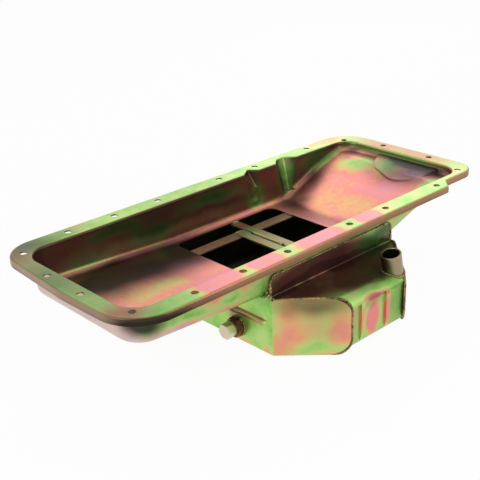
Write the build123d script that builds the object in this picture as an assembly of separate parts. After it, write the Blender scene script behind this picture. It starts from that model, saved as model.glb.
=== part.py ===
"""Engine oil pan: a pressed steel pan with a fabricated sump hung under one side.

Frame: millimetres. X runs along the engine, Y across it, Z up. The origin is the
centre of the four corner bolt holes, on the flat face that seals to the block.
"""

import os
from math import radians, tan

from build123d import *

os.makedirs("parts", exist_ok=True)

# ---------------------------------------------------------------- sizes
SHEET = 1.6                 # thickness of every pressed and folded sheet
GAP = 0.05                  # clearance left between two pieces that are lapped
BEYOND = 400.0              # past every piece, for the far side of a cut

# flange
FLANGE_LEFT, FLANGE_RIGHT = -300.0, 306.0
FLANGE_HALF_WIDTH = 127.0
END_BOW = 7.0               # the left end bulges by this much
END_BOW_PLACE = (-12.0, 150.0)      # place across, and radius, of the bulge
FLANGE_CORNERS = (52.0, 30.0, 45.0, 42.0)   # near left, near right, far right, far left
NOTCH_STEP = 15.0           # the near right corner is stepped in by this much
NOTCH_Y = -FLANGE_HALF_WIDTH + NOTCH_STEP
NOTCH_X = (FLANGE_RIGHT - 89.0, FLANGE_RIGHT - 73.0)   # start and end of the slope
LIP_DEPTH = 9.0             # the flange's edge is turned down by this much
FAR_LIP_DEPTH = 4.5         # but only this much along the far side
FAR_LIP_X = (FLANGE_LEFT + 40.0, FLANGE_RIGHT - 46.0)
LIP_BEND = 3.0
HOLE_D = 8.7
SIDE_HOLES_X = (-206.2, -138.8, -70.9, 34.4, 101.7, 207.5)
SIDE_HOLES_Y = FLANGE_HALF_WIDTH - 13.0
CORNER_HOLES_X = (FLANGE_LEFT + 25.0, FLANGE_RIGHT - 31.0)
CORNER_HOLES_Y = FLANGE_HALF_WIDTH - 27.0
LEFT_HOLES = (FLANGE_LEFT + 12.2, 31.0)
RIGHT_HOLES = (FLANGE_RIGHT - 12.7, 40.3)

# pressed well, sizes of the inside faces
RAIL_LEFT, RAIL_RIGHT = 24.5, 25.5      # width of the flange at the two ends
RAIL_SIDE = 26.5                        # and along the two sides
WELL_LEFT, WELL_RIGHT = FLANGE_LEFT + RAIL_LEFT, FLANGE_RIGHT - RAIL_RIGHT
WELL_HALF_WIDTH = FLANGE_HALF_WIDTH - RAIL_SIDE
WELL_CORNERS = (28.0, 28.0, 26.0, 28.0)   # near left, near right, far right, far left
DRAFT = 3.0                 # lean of the pressed walls, degrees
FLOOR_Z = -55.5
LEFT_FLOOR_Z = FLOOR_Z + 11.5   # at the left wall
FLOOR_FLAT_X = -60.0        # the floor is level from here to the foot of the ramp
SHELF_Z = -13.0             # the shelf at the top of the ramp
FLOOR_BEND = 9.0            # radius between the walls and the floor
MOUTH_BEND = 3.4            # radius between the flange and the walls
FLOOR_CURVES = (60.0, 22.0, 60.0, 25.0)     # level start, foot, knee and shelf

# foot, knee and shelf of the ramp, each (distance from the right wall, height);
# the near line stands higher than the far one, so the ramp is skewed
RAMP_NEAR = [(170.5, FLOOR_Z), (80.5, SHELF_Z - 13.5), (40.5, SHELF_Z)]
RAMP_FAR = [(132.5, FLOOR_Z), (68.5, SHELF_Z - 15.0), (22.5, SHELF_Z)]

# raised pad at the right wall: (distance from the wall, place across, corner radius)
PAD_CORNERS = [(-11.5, -68, 0), (68.5, -55, 34), (33, 25, 30), (-11.5, 40, 0)]
PAD_Z = SHELF_Z + 5.5       # height of the pad at the wall
PAD_SLOPE = 10.0            # it falls away from the wall by this many degrees
PAD_EDGE = 3.4

# clearance pockets in the far wall
POCKET_A = (69.0, 97.0, 12.0, -23.0)      # start x, end x, depth, bottom z
POCKET_B = (131.0, 171.0, 12.0)           # start x, end x, depth
BULGE_RADIUS = 30.0         # of the shallow bulge under the first pocket

# opening in the floor, and the strips that cross it
OPENING_X = (-66.8, 107.2)
OPENING_Y = (-WELL_HALF_WIDTH + 14.5, WELL_HALF_WIDTH - 11.5)
OPENING_CORNER = 11.0
CROSS_STRIP_Y = (OPENING_Y[1] - 42.5, OPENING_Y[1] - 25.5)
ANGLE_STRIPS_X = (10.2, 42.2)   # outer edges of the pair of angle strips
ANGLE_SLOT_X = 27.4             # middle of the space between the two
ANGLE_SLOT = 2.6
ANGLE_DROP = 12.0
ANGLE_END_Y = CROSS_STRIP_Y[1] - 3.5
END_STRIP_X = (30.0, 44.0)

# sump under the well
SUMP_X = (-89.8, 134.0)
SUMP_FOLD_Y = -WELL_HALF_WIDTH - 6.5
SUMP_OUT = 63.0                 # how far the sump steps out from the fold
SUMP_OUT_Y = SUMP_FOLD_Y - SUMP_OUT
SUMP_OUT_X = (SUMP_X[0] + 63.0, SUMP_X[1] - 59.5)   # ends of the outer face
SUMP_BOTTOM_Z = -128.0
ROOF_Z = FLOOR_Z - 1.5          # at the well's wall
ROOF_OUT_Z = (ROOF_Z + 0.8, ROOF_Z - 4.5)   # at the outer bend, left end and right end
OUTER_BEND = 18.0
FAR_BEND = 12.0
FOLD_BEND = 4.0
PLATE_TOP_Z = ROOF_Z + 7.0
LAP_TOP_Z = -30.0               # the sump sheet laps the wall up to here
FAR_LAP_TOP_Z = FLOOR_Z + 6.0   # lower on the far wall, under the pockets
BEAD_R = 2.4
BEAD_Z = SUMP_BOTTOM_Z + 39.0
BEAD_Y = (SUMP_FOLD_Y + 12.0, WELL_HALF_WIDTH - 30.5)
RIBS_X = (SUMP_OUT_X[0] + 22.4, SUMP_OUT_X[1] - 33.5)
RIB_TOP_Z = ROOF_Z - 13.0
RIB_WIDTH = 7.0
PANEL_DEPTH = 2.8               # the panels beside the ribs are set in by this

# dipstick tube
TUBE_FOOT = (SUMP_OUT_X[1] - 2.5, SUMP_OUT_Y + 19.0, ROOF_OUT_Z[1] + 0.5)
TUBE_OD, TUBE_ID = 25.4, 20.8
TUBE_TOP = 24.0                 # length above the roof
TUBE_LEAN = 12.0                # degrees, towards the left end

# drain
DRAIN_YZ = (-50.0, SUMP_BOTTOM_Z + 18.0)
BUNG_AF = 22.0
BUNG_LENGTH = 9.5
THREAD_D = 14.0
PLUG_AF = 17.0
PLUG_HEAD = 10.0
PLUG_COLLAR_D = 18.0
PLUG_COLLAR = 1.6
WASHER_D = 20.0
WASHER_T = 1.6


# ---------------------------------------------------------------- helpers
def outline(corners):
    """A flat face through (x, y, radius) corners."""
    face = make_face(Polyline(*[(x, y) for x, y, r in corners], close=True))
    for x, y, r in corners:
        if r > 0:
            corner = face.vertices().sort_by_distance((x, y, 0))[0]
            face = fillet(corner, r)
    return face


def down(face, top, bottom, lean=0.0):
    """The face taken from height top down to bottom, its sides leaning inwards."""
    return extrude(Pos(0, 0, top) * face, amount=top - bottom, dir=(0, 0, -1), taper=lean)


def block(x0, x1, y0, y1, z0, z1):
    """A plain box between two corners."""
    return Pos((x0 + x1) / 2, (y0 + y1) / 2, (z0 + z1) / 2) * Box(x1 - x0, y1 - y0, z1 - z0)


def side_profile(points, y0, y1):
    """A filled outline in X and Z, carried across from y0 to y1."""
    face = outline(points)
    return Pos(0, y0, 0) * Rot(90, 0, 0) * extrude(face, amount=y1 - y0, dir=(0, 0, -1))


def is_floor(face):
    """True for a face that looks down, level or sloping."""
    return face.normal_at().Z < -0.5


def is_wall(face):
    """True for a face that stands up."""
    return abs(face.normal_at().Z) < 0.4


def edges_between(solid, first, second):
    """The edges where a face of the first kind meets one of the second."""
    one = {edge for face in solid.faces().filter_by(first) for edge in face.edges()}
    two = {edge for face in solid.faces().filter_by(second) for edge in face.edges()}
    return ShapeList(edge for edge in solid.edges() if edge in one and edge in two)


# ---------------------------------------------------------------- pressed well
def well_walls(grow):
    """A four sided tub with leaning sides and round corners, open to below the floor."""
    depth = -FLOOR_Z + 14.5
    lean = depth * tan(radians(DRAFT))
    width, height = WELL_RIGHT - WELL_LEFT + 2 * grow, 2 * (WELL_HALF_WIDTH + grow)
    middle = (WELL_LEFT + WELL_RIGHT) / 2
    top = Pos(middle, 0, 0) * Rectangle(width, height)
    bottom = Pos(middle, 0, -depth) * Rectangle(width - 2 * lean, height - 2 * lean)
    tub = loft([top, bottom], ruled=True)
    places = [(WELL_LEFT, -1), (WELL_RIGHT, -1), (WELL_RIGHT, 1), (WELL_LEFT, 1)]
    for (x, side), radius in zip(places, WELL_CORNERS):
        upright = [e for e in tub.edges() if abs((e @ 0).Z - (e @ 1).Z) > depth / 2]
        corner = ShapeList(upright).sort_by_distance((x, side * WELL_HALF_WIDTH, 0))[0]
        tub = fillet(corner, radius + grow)
    return tub


def flared(top, low, bottom, grow):
    """A pocket from the outline top to the outline low, its mouth rounded like the well's."""
    flare = MOUTH_BEND
    sections = []
    for share in (0.0, 0.12, 0.4, 1.0):
        depth = grow + share * (flare - grow)
        bend = ((flare - grow) ** 2 - (flare - depth) ** 2) ** 0.5
        mouth = offset(top, flare - bend, kind=Kind.INTERSECTION)
        sections.append(Pos(0, 0, -depth) * mouth)
    sections.append(Pos(0, 0, bottom - grow) * offset(low, grow, kind=Kind.INTERSECTION))
    return loft(sections, ruled=True)


def pocket_a(grow):
    """Three sided pocket pressed into the top of the far wall, over a shallow bulge."""
    x0, x1, depth, bottom = POCKET_A
    y = WELL_HALF_WIDTH
    point = x0 + 0.62 * (x1 - x0)
    top = outline([(x0, y - 8, 0), (x1, y - 8, 0), (x1, y, 2), (point, y + depth, 2), (x0, y, 2)])
    low = outline([(point - 4, y - 8, 0), (x1 - 3, y - 8, 0), (x1 - 3, y - 1.5, 2),
                   (point + 5, y + 1.2, 2), (point - 4, y - 1.5, 2)])
    return flared(top, low, bottom, grow)


def bulge(grow):
    """The shallow upright bulge under the first pocket."""
    x = (POCKET_A[0] + POCKET_A[1]) / 2 + 1
    radius = BULGE_RADIUS + grow
    y = WELL_HALF_WIDTH - BULGE_RADIUS + 0.2
    round_bar = Pos(x, y, -23) * Cylinder(radius, 20) + Pos(x, y, -33) * Sphere(radius)
    by_the_wall = block(x - radius, x + radius, WELL_HALF_WIDTH - 7, y + radius + 1, -50, 0)
    return round_bar & by_the_wall


def pocket_b(grow):
    """Smooth pocket pressed into the whole height of the far wall."""
    x0, x1, depth = POCKET_B
    y = WELL_HALF_WIDTH
    low = y - 3.0
    top = outline([(x0 - 6, y - 14, 0), (x1 + 6, y - 14, 0), (x1 + 6, y - 5, 4), (x1 - 13, y + depth, 8),
                   (x0 + 13, y + depth, 8), (x0 - 6, y - 5, 4)])
    foot = outline([(x0 + 4, low - 14, 0), (x1 - 4, low - 14, 0), (x1 - 4, low - 5, 4), (x1 - 15, low + 3, 5),
                    (x0 + 15, low + 3, 5), (x0 + 4, low - 5, 4)])
    return flared(top, foot, -46, grow)


def pad(grow):
    """Raised pad on the ramp; it is metal, so it shrinks as the space grows."""
    depth = 14.0
    corners = outline([(WELL_RIGHT - away, y, r) for away, y, r in PAD_CORNERS])
    top = offset(corners, -0.41 * grow, kind=Kind.INTERSECTION)
    foot = offset(top, depth, kind=Kind.INTERSECTION)
    raised_pad = loft([Pos(0, 0, -depth) * foot, top], ruled=True)
    rim = raised_pad.faces().sort_by(Axis.Z)[-1].edges()
    raised_pad = fillet(rim, PAD_EDGE - grow)
    hinge = Pos(WELL_RIGHT, 0, PAD_Z - grow)
    return hinge * Rot(0, -PAD_SLOPE, 0) * Pos(-WELL_RIGHT, 0, 0) * raised_pad


def floor_line(ramp, grow):
    """The filled outline over the floor, ramp and shelf, seen from the side."""
    left, right, high = WELL_LEFT - 50, WELL_RIGHT + 50, 10
    fall = (FLOOR_Z - LEFT_FLOOR_Z) / (FLOOR_FLAT_X - WELL_LEFT)
    left_z = LEFT_FLOOR_Z + fall * (left - WELL_LEFT)
    foot, knee, shelf = [(WELL_RIGHT - away, z) for away, z in ramp]
    start, foot_bend, knee_bend, shelf_bend = FLOOR_CURVES
    face = outline([
        (left, high, 0), (left, left_z - grow, 0), (FLOOR_FLAT_X, FLOOR_Z - grow, start),
        (foot[0], foot[1] - grow, foot_bend), (knee[0] + grow * 0.4, knee[1] - grow, knee_bend),
        (shelf[0], shelf[1] - grow, shelf_bend), (right, shelf[1] - grow, 0), (right, high, 0),
    ])
    return Rot(90, 0, 0) * face


def well(grow):
    """The space inside the well, grown all round; grow = SHEET gives its outside."""
    reach = WELL_HALF_WIDTH + 9.5
    near = Pos(0, -reach, 0) * floor_line(RAMP_NEAR, grow)
    far = Pos(0, reach, 0) * floor_line(RAMP_FAR, grow)
    floor = loft([near, far], ruled=True)
    space = well_walls(grow) & floor
    space = fillet(edges_between(space, is_wall, is_floor), FLOOR_BEND + grow)
    return space - pad(grow)


def pockets(grow):
    """The pockets pressed into the far wall."""
    return pocket_a(grow) + bulge(grow) + pocket_b(grow)


# ---------------------------------------------------------------- pan body
def mouth_edges(solid, height):
    """The edges all round the well where it meets a level face at this height."""
    reach = [WELL_LEFT - 4, WELL_RIGHT + 4, WELL_HALF_WIDTH + 4]
    found = ShapeList()
    for edge in solid.edges():
        box = edge.bounding_box()
        level = abs(box.min.Z - height) < 1e-3 and abs(box.max.Z - height) < 1e-3
        inner = box.min.X > reach[0] and box.max.X < reach[1] and abs(box.center().Y) < reach[2]
        if level and inner:
            found.append(edge)
    return found


def make_pan_body():
    """The one big pressing: flange with turned down lip, well, ramp, pad and pockets."""
    near_left, near_right, far_right, far_left = FLANGE_CORNERS
    left = FLANGE_LEFT + END_BOW
    rim = outline([
        (left - 4, -FLANGE_HALF_WIDTH, near_left), (NOTCH_X[0], -FLANGE_HALF_WIDTH, 7),
        (NOTCH_X[1], NOTCH_Y, 6), (FLANGE_RIGHT, NOTCH_Y, near_right),
        (FLANGE_RIGHT, FLANGE_HALF_WIDTH, far_right), (left, FLANGE_HALF_WIDTH, far_left),
        (FLANGE_LEFT, *END_BOW_PLACE),
    ])
    outside = down(rim, 0, -LIP_DEPTH)
    outside = fillet(outside.edges().group_by(Axis.Z)[-1], LIP_BEND)
    inside = down(offset(rim, -SHEET), -SHEET, -LIP_DEPTH - 1)
    inside = fillet(inside.edges().group_by(Axis.Z)[-1], LIP_BEND - SHEET)

    (x0, x1), slope = FAR_LIP_X, 15
    far_cut = side_profile([(x0, -LIP_DEPTH - 1, 0), (x0 + slope, -FAR_LIP_DEPTH, 6),
                            (x1 - slope, -FAR_LIP_DEPTH, 6), (x1, -LIP_DEPTH - 1, 0)],
                           FLANGE_HALF_WIDTH - 19, FLANGE_HALF_WIDTH + 5)
    body = (outside - inside - far_cut) + well(SHEET)
    body = fillet(mouth_edges(body, -SHEET), MOUTH_BEND - SHEET) + pockets(SHEET)

    air = block(WELL_LEFT - 22, WELL_RIGHT + 22, -WELL_HALF_WIDTH - 22, WELL_HALF_WIDTH + 22, 0, 8)
    space = well(0) + air
    space = fillet(mouth_edges(space, 0), MOUTH_BEND) + pockets(0)
    body -= space

    holes = Sketch()
    for x in SIDE_HOLES_X:
        for side in (-1, 1):
            holes += Pos(x, side * SIDE_HOLES_Y) * Circle(HOLE_D / 2)
    for x in CORNER_HOLES_X:
        for side in (-1, 1):
            holes += Pos(x, side * CORNER_HOLES_Y) * Circle(HOLE_D / 2)
    for x, half in (LEFT_HOLES, RIGHT_HOLES):
        for side in (-1, 1):
            holes += Pos(x, side * half) * Circle(HOLE_D / 2)
    body -= down(holes, 5, -6)

    (x0, x1), (y0, y1), r = OPENING_X, OPENING_Y, OPENING_CORNER
    opening = outline([(x0, y0, r), (x1, y0, r), (x1, y1, r), (x0, y1, r)])
    return body - down(opening, FLOOR_Z + 6, FLOOR_Z - 6)


# ---------------------------------------------------------------- baffle strips
def make_cross_strip():
    """Flat strip under the opening, with a tongue to the far edge."""
    top = FLOOR_Z - SHEET - GAP
    (x0, x1), (y0, y1) = OPENING_X, CROSS_STRIP_Y
    strip = block(x0 - 8, x1 + 8, y0, y1, top - SHEET, top)
    tongue = block(*END_STRIP_X, y1 - 1, OPENING_Y[1] + 8, top - SHEET, top)
    return strip + tongue


def make_angle_strip(side):
    """One of the pair of angle strips on top of the cross strip; side is -1 or 1."""
    top = FLOOR_Z
    outer = ANGLE_STRIPS_X[0] if side < 0 else ANGLE_STRIPS_X[1]
    y0, y1 = OPENING_Y[0] + GAP, CROSS_STRIP_Y[0] - 1
    near, far = ANGLE_SLOT / 2, abs(outer - ANGLE_SLOT_X)
    bend = SHEET + 1.4
    section = make_face(Polyline((near, -ANGLE_DROP), (near, 0), (far, 0), (far, -SHEET),
                                 (near + SHEET, -SHEET), (near + SHEET, -ANGLE_DROP), close=True))
    section = fillet(section.vertices().sort_by_distance((near, 0, 0))[0], bend)
    section = fillet(section.vertices().sort_by_distance((near + SHEET, -SHEET, 0))[0], bend - SHEET)
    strip = Pos(0, y0, 0) * Rot(90, 0, 0) * extrude(section, amount=y1 - y0, dir=(0, 0, -1))
    tab = outline([(near, y1 - 0.01, 0), (far, y1 - 0.01, 0), (far, ANGLE_END_Y, 8), (near, ANGLE_END_Y, 2)])
    strip += down(tab, 0, -SHEET)
    strip = Pos(0, 0, top) * strip
    if side < 0:
        strip = mirror(strip, Plane.YZ)
    return Pos(ANGLE_SLOT_X, 0, 0) * strip


# ---------------------------------------------------------------- sump
SUMP_MIDDLE = (SUMP_X[0] + SUMP_X[1]) / 2
LINE_TOP_Z = -20.0              # the section is drawn up to here, then trimmed


def wall_y(z, grow):
    """How far out the well's leaning wall stands at a height, grown outwards."""
    return WELL_HALF_WIDTH + SHEET + GAP + grow + tan(radians(DRAFT)) * z


def sump_line(grow, x):
    """The filled section of the sump at one place along it; grow = SHEET is its outside."""
    less = SHEET - grow
    (left, right), (left_z, right_z) = SUMP_OUT_X, ROOF_OUT_Z
    roof_out = left_z + (right_z - left_z) * (x - left) / (right - left)
    slope = (roof_out - ROOF_Z) / (SUMP_OUT_Y + OUTER_BEND - SUMP_FOLD_Y)
    out_y = SUMP_OUT_Y + less
    bottom = SUMP_BOTTOM_Z + less
    face = outline([
        (-wall_y(LINE_TOP_Z, grow), LINE_TOP_Z, 0),
        (-wall_y(ROOF_Z, grow), ROOF_Z - less, 1.5 + less),
        (out_y, ROOF_Z - less + slope * (out_y - SUMP_FOLD_Y), OUTER_BEND - less),
        (out_y, bottom, OUTER_BEND + 2 - less),
        (wall_y(bottom, grow), bottom, FAR_BEND - less),
        (wall_y(LINE_TOP_Z, grow), LINE_TOP_Z, 0),
    ])
    return Pos(x, 0, 0) * Plane.YZ.location * face


def sump_section(grow, x0, x1):
    """The sump's section carried from x0 to x1; the roof's outer side falls to the right."""
    return loft([sump_line(grow, x0), sump_line(grow, x1)], ruled=True)


def panels(grow):
    """What the three pressed panels take off the outer face, leaving two ribs."""
    less = SHEET - grow
    width = RIB_WIDTH / 2 - less
    edges = [SUMP_X[0], RIBS_X[0] - width, RIBS_X[0] + width,
             RIBS_X[1] - width, RIBS_X[1] + width, SUMP_X[1]]
    taken = Part()
    for x0, x1 in zip(edges[::2], edges[1::2]):
        panel = block(x0, x1, SUMP_OUT_Y - 5, SUMP_OUT_Y + PANEL_DEPTH + less,
                      SUMP_BOTTOM_Z - 2, RIB_TOP_Z + less)
        taken += panel
    return taken


def plan_prism(inset):
    """The sump's plan shape, drawn in by inset, as a tall block."""
    (left, right), (left_out, right_out) = SUMP_X, SUMP_OUT_X
    run = SUMP_OUT_Y - SUMP_FOLD_Y
    beyond, far = -15.0, WELL_HALF_WIDTH + 29.5
    left_tip = left_out + (left_out - left) * beyond / run
    right_tip = right_out + (right_out - right) * beyond / run
    plan = outline([
        (left, far, 0), (left, SUMP_FOLD_Y, FOLD_BEND), (left_tip, SUMP_OUT_Y + beyond, 0),
        (right_tip, SUMP_OUT_Y + beyond, 0), (right, SUMP_FOLD_Y, FOLD_BEND), (right, far, 0),
    ])
    if inset > 0:
        plan = offset(plan, -inset, kind=Kind.INTERSECTION)
    return down(plan, LINE_TOP_Z, SUMP_BOTTOM_Z - 12)


def make_sump_shell():
    """The wrapped sheet: lap on the pan's wall, roof, ribbed outer face, bottom, far wall."""
    x0, x1 = SUMP_X[0] - 5, SUMP_X[1] + 5
    outside = sump_section(SHEET, x0, x1) - panels(SHEET)
    inside = sump_section(0, x0, x1) - panels(0)
    sheet = outside - inside
    sheet -= block(x0 - 1, x1 + 1, -BEYOND, 0, LAP_TOP_Z, 0)
    sheet -= block(x0 - 1, x1 + 1, 0, BEYOND, FAR_LAP_TOP_Z, 0)
    box = sheet & plan_prism(SHEET + GAP)

    start, end, low = SUMP_X[0] + SHEET + 2, SUMP_X[1] - SHEET - 2, ROOF_Z - 2
    outer, inner = -wall_y(ROOF_Z, SHEET) - 2, -WELL_HALF_WIDTH + 11
    high, round_corner = LAP_TOP_Z + 1, 9
    lap = side_profile([(start, high, round_corner), (start, low - 1, 0), (end, low - 1, 0),
                        (end, high, round_corner)], outer - 1, inner + 1)
    beside_lap = block(SUMP_X[0], SUMP_X[1], outer, inner, low, 0) - lap
    tube_hole = Pos(*TUBE_FOOT) * Rot(0, -TUBE_LEAN, 0) * Cylinder(TUBE_ID / 2, 30)
    return box - beside_lap - tube_hole


def capsule(radius, start, end):
    """A bar with round ends between two points on a line along one axis."""
    middle = [(a + b) / 2 for a, b in zip(start, end)]
    length = sum(abs(b - a) for a, b in zip(start, end))
    bar = Pos(*middle) * Rot(90, 0, 0) * Cylinder(radius, length)
    return bar + Pos(*start) * Sphere(radius) + Pos(*end) * Sphere(radius)


def make_end_plate(side, well_outside):
    """Folded plate closing one end of the sump; side is -1 at the left, 1 at the right."""
    x0, x1 = SUMP_X[0] - 20, SUMP_X[1] + 20
    ring = plan_prism(0) - plan_prism(SHEET)
    if side < 0:
        ring &= block(x0, SUMP_MIDDLE, -BEYOND, BEYOND, -BEYOND, 0)
    else:
        ring &= block(SUMP_MIDDLE, x1, -BEYOND, BEYOND, -BEYOND, 0)
    above = block(x0, x1, -BEYOND, BEYOND, PLATE_TOP_Z, 0)
    plate = (ring & sump_section(SHEET, x0, x1)) - above
    plate -= well_outside
    if side > 0:
        return plate
    inner = SUMP_X[0] + SHEET
    ends = (inner, BEAD_Y[0], BEAD_Z), (inner, BEAD_Y[1], BEAD_Z)
    raised = capsule(BEAD_R + SHEET, *ends) & block(x0, inner, -BEYOND, BEYOND, -BEYOND, 0)
    plate = (plate + raised) - capsule(BEAD_R, *ends)
    y, z = DRAIN_YZ
    return plate - Pos(SUMP_X[0], y, z) * Rot(0, 90, 0) * Cylinder(THREAD_D / 2 + 0.5, 20)


# ---------------------------------------------------------------- tube and drain
def make_dipstick_tube():
    """Short open tube standing on the roof, leaning to the left."""
    place = Pos(*TUBE_FOOT) * Rot(0, -TUBE_LEAN, 0)
    wall = Cylinder(TUBE_OD / 2, TUBE_TOP + 10) - Cylinder(TUBE_ID / 2, TUBE_TOP + 12)
    wall = Pos(0, 0, TUBE_TOP / 2 - 5) * wall
    wall = place * wall
    rims = wall.edges().filter_by(GeomType.CIRCLE).sort_by(Axis.Z)[-2:]
    wall = chamfer(rims, 0.5)
    return wall - sump_section(SHEET + GAP, 0, 130)


def hexagon(across_flats, length, edge):
    """A hexagon bar along -X with its outer corners turned off."""
    bar = extrude(RegularPolygon(across_flats / 2, 6, major_radius=False), amount=length)
    cone = Cone(across_flats * 0.5774 + length - edge + 0.2, across_flats * 0.5774 - edge + 0.2, length,
                align=(Align.CENTER, Align.CENTER, Align.MIN))
    return Rot(0, -90, 0) * Rot(0, 0, 30) * (bar & cone)


def make_drain_bung():
    """Hexagon bung welded to the left plate, threaded through."""
    y, z = DRAIN_YZ
    bung = hexagon(BUNG_AF, BUNG_LENGTH, 1.2)
    bore = Rot(0, 90, 0) * Cylinder(THREAD_D / 2, 60)
    return Pos(SUMP_X[0] - GAP, y, z) * (bung - bore)


def make_washer():
    """Sealing washer between the bung and the plug."""
    y, z = DRAIN_YZ
    x = SUMP_X[0] - 2 * GAP - BUNG_LENGTH - WASHER_T / 2
    ring = Cylinder(WASHER_D / 2, WASHER_T) - Cylinder(THREAD_D / 2 + 0.3, WASHER_T)
    return Pos(x, y, z) * Rot(0, 90, 0) * ring


def make_drain_plug():
    """Hexagon headed plug with a collar; its shank fills the bung's bore."""
    y, z = DRAIN_YZ
    seat = SUMP_X[0] - 3 * GAP - BUNG_LENGTH - WASHER_T
    collar = Pos(-PLUG_COLLAR / 2, 0, 0) * Rot(0, 90, 0) * Cylinder(PLUG_COLLAR_D / 2, PLUG_COLLAR)
    head = Pos(-PLUG_COLLAR, 0, 0) * hexagon(PLUG_AF, PLUG_HEAD, 1.0)
    length = BUNG_LENGTH + WASHER_T + 5
    shank = Pos(length / 2, 0, 0) * Rot(0, 90, 0) * Cylinder(THREAD_D / 2 - 0.1, length)
    shank = chamfer(shank.edges().filter_by(GeomType.CIRCLE).sort_by(Axis.X)[-1], 1.0)
    return Pos(seat, y, z) * (collar + head + shank)


# ---------------------------------------------------------------- write the pieces
pan_body = make_pan_body()
clear_of_well = well(SHEET + GAP)
PIECES = {
    "pan_body": pan_body,
    "baffle_cross_strip": make_cross_strip(),
    "baffle_angle_left": make_angle_strip(-1),
    "baffle_angle_right": make_angle_strip(1),
    "sump_shell": make_sump_shell(),
    "sump_plate_left": make_end_plate(-1, clear_of_well),
    "sump_plate_right": make_end_plate(1, clear_of_well),
    "dipstick_tube": make_dipstick_tube(),
    "drain_bung": make_drain_bung(),
    "sealing_washer": make_washer(),
    "drain_plug": make_drain_plug(),
}
for name, shape in PIECES.items():
    export_step(shape, "parts/" + name + ".step")
    print(name, round(shape.volume))
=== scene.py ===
# %% [markdown]
# An engine oil pan is pressed from thin steel sheet and closed by a welded sump.
# The solids come from the CAD model, in metres, with the centre of the four corner
# bolt holes at the origin: X runs along the engine and Z points up out of the flange.
# This file gives them their finish, adds the welds, and sets the light and the camera.

import math

import bpy
import numpy as np
from mathutils import Matrix, Vector


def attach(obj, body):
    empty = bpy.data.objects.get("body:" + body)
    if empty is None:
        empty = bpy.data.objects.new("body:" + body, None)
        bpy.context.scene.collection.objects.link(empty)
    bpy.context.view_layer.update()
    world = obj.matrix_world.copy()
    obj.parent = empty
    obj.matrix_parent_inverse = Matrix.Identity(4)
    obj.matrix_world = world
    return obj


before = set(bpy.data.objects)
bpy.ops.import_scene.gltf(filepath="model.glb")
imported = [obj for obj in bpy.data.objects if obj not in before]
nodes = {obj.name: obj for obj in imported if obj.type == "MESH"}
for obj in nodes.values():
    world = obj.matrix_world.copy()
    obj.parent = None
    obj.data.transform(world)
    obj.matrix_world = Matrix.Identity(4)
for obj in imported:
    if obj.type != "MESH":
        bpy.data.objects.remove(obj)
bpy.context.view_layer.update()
scene = bpy.context.scene
print("solids:", ", ".join(sorted(nodes)))

# %% [markdown]
# The camera stands low in front of the left end and looks along the pan. A long lens
# keeps the far end from shrinking, so the pan looks as long as it is.

# %% camera
CAMERA_AT = Vector((-0.72527, -0.74404, 0.41766))
CAMERA_RIGHT = Vector((0.7244, -0.6887, -0.0295))
CAMERA_UP = Vector((0.2990, 0.2753, 0.9137))
CAMERA_BACK = Vector((-0.6211, -0.6708, 0.4053))
LENS_MM = 67.93
SENSOR_MM = 36.0
NEAREST, FARTHEST = 0.01, 50.0


def place_camera():
    """A camera whose three axes are the columns of its turning matrix."""
    data = bpy.data.cameras.new("camera")
    data.sensor_width = SENSOR_MM
    data.lens = LENS_MM
    data.clip_start, data.clip_end = NEAREST, FARTHEST
    camera = bpy.data.objects.new("camera", data)
    scene.collection.objects.link(camera)
    turn = Matrix((CAMERA_RIGHT, CAMERA_UP, CAMERA_BACK)).transposed().to_4x4()
    camera.matrix_world = Matrix.Translation(CAMERA_AT) @ turn
    scene.camera = camera
    return camera


camera = place_camera()
scene.view_settings.view_transform = "Standard"
print("camera at", tuple(round(v, 3) for v in camera.location))

# %% [markdown]
# The CAD mesh is loose flat triangles. It could be rebuilt as a clean surface, but its
# shape is right as it is, so modifiers are enough. Joining the points and shading them
# smooth lets a pressed bend catch the light as one curve. Edges sharper than thirty
# degrees are split again, so a sheet's cut edge stays crisp.

# %% smooth bends, sharp edges
MERGE_WITHIN = 2e-6
SHARP_ANGLE = math.radians(30.0)


def smooth_bends(obj):
    """Modifiers that join the triangles, keep sharp edges and even out the normals."""
    obj.data.shade_smooth()
    weld = obj.modifiers.new("join triangles", "WELD")
    weld.merge_threshold = MERGE_WITHIN
    split = obj.modifiers.new("keep sharp edges", "EDGE_SPLIT")
    split.split_angle = SHARP_ANGLE
    even = obj.modifiers.new("even normals", "WEIGHTED_NORMAL")
    even.keep_sharp = True


for solid in nodes.values():
    smooth_bends(solid)
print("smoothed", len(nodes), "solids")

# %% [markdown]
# Yellow zinc plate is a thin clear film on bright metal. Where the film is thin it
# looks green, then yellow, orange, pink and purple as it gets thicker, and it is
# never even: it drains and dries in soft patches. It could be painted patch by patch,
# but then the order of the colours would be lost. So the finish is made from one number,
# the film, that a colour ramp turns into those colours. Noise spreads it a little
# everywhere, and soft spots push it up or down where the film ran thick or thin.

# %% film colours and soft spots
FILM_RAMP = (
    (0.00, (0.120, 0.260, 0.040)),
    (0.14, (0.270, 0.570, 0.110)),
    (0.30, (0.470, 0.650, 0.200)),
    (0.44, (0.640, 0.530, 0.200)),
    (0.56, (0.760, 0.410, 0.180)),
    (0.70, (0.810, 0.270, 0.230)),
    (0.84, (0.700, 0.280, 0.360)),
    (1.00, (0.300, 0.170, 0.230)),
)
SPOT_CORE = 0.25


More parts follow.
